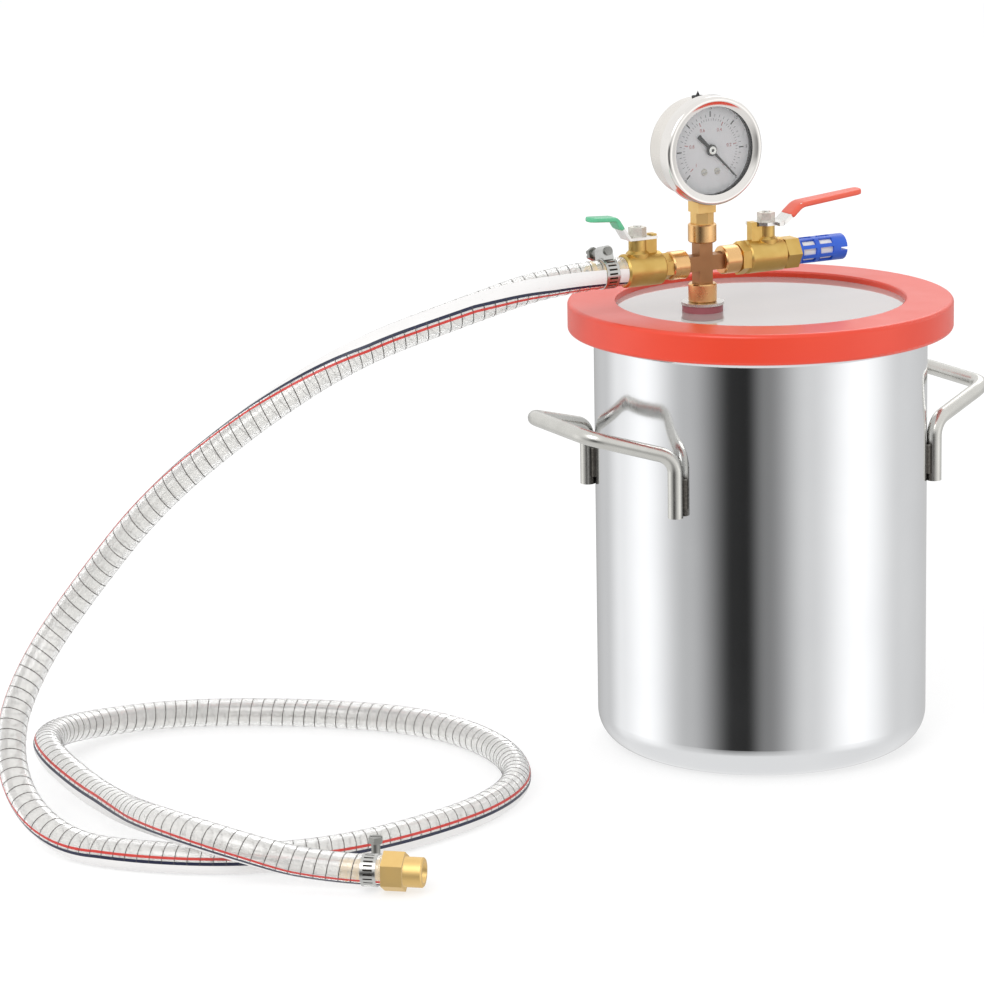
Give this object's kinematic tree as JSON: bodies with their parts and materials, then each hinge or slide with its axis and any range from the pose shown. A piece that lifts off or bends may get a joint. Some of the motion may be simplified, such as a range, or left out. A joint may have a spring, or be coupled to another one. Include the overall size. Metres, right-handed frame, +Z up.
{
  "type": "vacuum chamber",
  "caption": "Steel pot with a clear ringed lid, carrying a gauge, two lever ball valves, a silencer and a clear hose for degassing under vacuum.",
  "frame": {"origin": "centre of the pot's base, on the surface that the chamber stands on", "axes": "+Z up; +X along the manifold towards the silencer and along the pot's two handles; the gauge faces -Y"},
  "size_m": [0.6217, 0.3767, 0.4005],
  "materials": {
    "pot_steel": "mirror-polished stainless steel",
    "rod_steel": "polished stainless rod with dull welds",
    "lid_acrylic": "clear polished acrylic",
    "ring_silicone": "orange-red silicone with a soft sheen",
    "bright_steel": "bright zinc-plated steel",
    "yellow_brass": "turned yellow brass",
    "gold_brass": "polished turned brass",
    "dark_bronze": "brown satin bronze",
    "gauge_steel": "satin stainless steel",
    "lens_glass": "clear flat glass",
    "dial_aluminium": "silver-grey printed dial",
    "needle_black": "matt black",
    "plug_rubber": "matt black rubber",
    "hose_vinyl": "clear vinyl with a steel wire spiral inside",
    "silencer_blue": "moulded blue plastic",
    "filter_felt": "white felt",
    "white_seat": "white fluoropolymer",
    "grip_red": "dipped coral-red vinyl",
    "grip_green": "dipped green vinyl"
  },
  "bodies": {
    "chamber": {"coupling_bottom": "gold_brass", "coupling_left": "gold_brass", "coupling_right": "gold_brass", "coupling_top": "gold_brass", "cross_body": "dark_bronze", "end_clamp_band": "bright_steel", "end_clamp_housing": "bright_steel", "end_clamp_screw": "bright_steel", "gauge_bezel": "gauge_steel", "gauge_bourdon_tube": "dark_bronze", "gauge_case": "gauge_steel", "gauge_dial": "dial_aluminium", "gauge_fill_plug": "plug_rubber", "gauge_lens": "lens_glass", "gauge_movement": "yellow_brass", "gauge_socket": "yellow_brass", "handle_left": "rod_steel", "handle_right": "rod_steel", "hose_end_fitting": "yellow_brass", "hose_valve_body": "yellow_brass", "hose_valve_end_piece": "yellow_brass", "hose_valve_packing": "white_seat", "hose_valve_seat_far": "white_seat", "hose_valve_seat_near": "white_seat", "lid_gasket": "ring_silicone", "lid_plate": "lid_acrylic", "port_nut": "yellow_brass", "port_seal_lower": "ring_silicone", "port_seal_upper": "ring_silicone", "port_stud": "yellow_brass", "port_washer_lower": "bright_steel", "port_washer_upper": "bright_steel", "pot": "pot_steel", "silencer_body": "silencer_blue", "silencer_filter": "filter_felt", "vacuum_hose": "hose_vinyl", "valve_clamp_band": "bright_steel", "valve_clamp_housing": "bright_steel", "valve_clamp_screw": "bright_steel", "vent_valve_body": "yellow_brass", "vent_valve_end_piece": "yellow_brass", "vent_valve_packing": "white_seat", "vent_valve_seat_far": "white_seat", "vent_valve_seat_near": "white_seat"},
    "vent_spindle": {"vent_valve_ball": "bright_steel", "vent_valve_stem": "bright_steel", "vent_lever": "bright_steel", "vent_lever_grip": "grip_red", "vent_lever_nut": "bright_steel"},
    "hose_spindle": {"hose_valve_ball": "bright_steel", "hose_valve_stem": "bright_steel", "hose_lever": "bright_steel", "hose_lever_grip": "grip_green", "hose_lever_nut": "bright_steel"},
    "gauge_pointer": {"gauge_needle": "needle_black"}
  },
  "joints": [
    {"name": "vent_valve_turn", "type": "hinge", "parent": "chamber", "child": "vent_spindle", "pos_m": [0.0043, 0, 0.2987], "axis": [0, 0, -1], "range_deg": [0, 90]},
    {"name": "hose_valve_turn", "type": "hinge", "parent": "chamber", "child": "hose_spindle", "pos_m": [-0.0843, 0, 0.2987], "axis": [0, 0, -1], "range_deg": [0, 90]},
    {"name": "gauge_needle_turn", "type": "hinge", "parent": "chamber", "child": "gauge_pointer", "pos_m": [-0.04, 0, 0.3671], "axis": [0, -1, 0], "range_deg": [0, 270], "stiffness_Nm_per_rad": 0.0001}
  ]
}
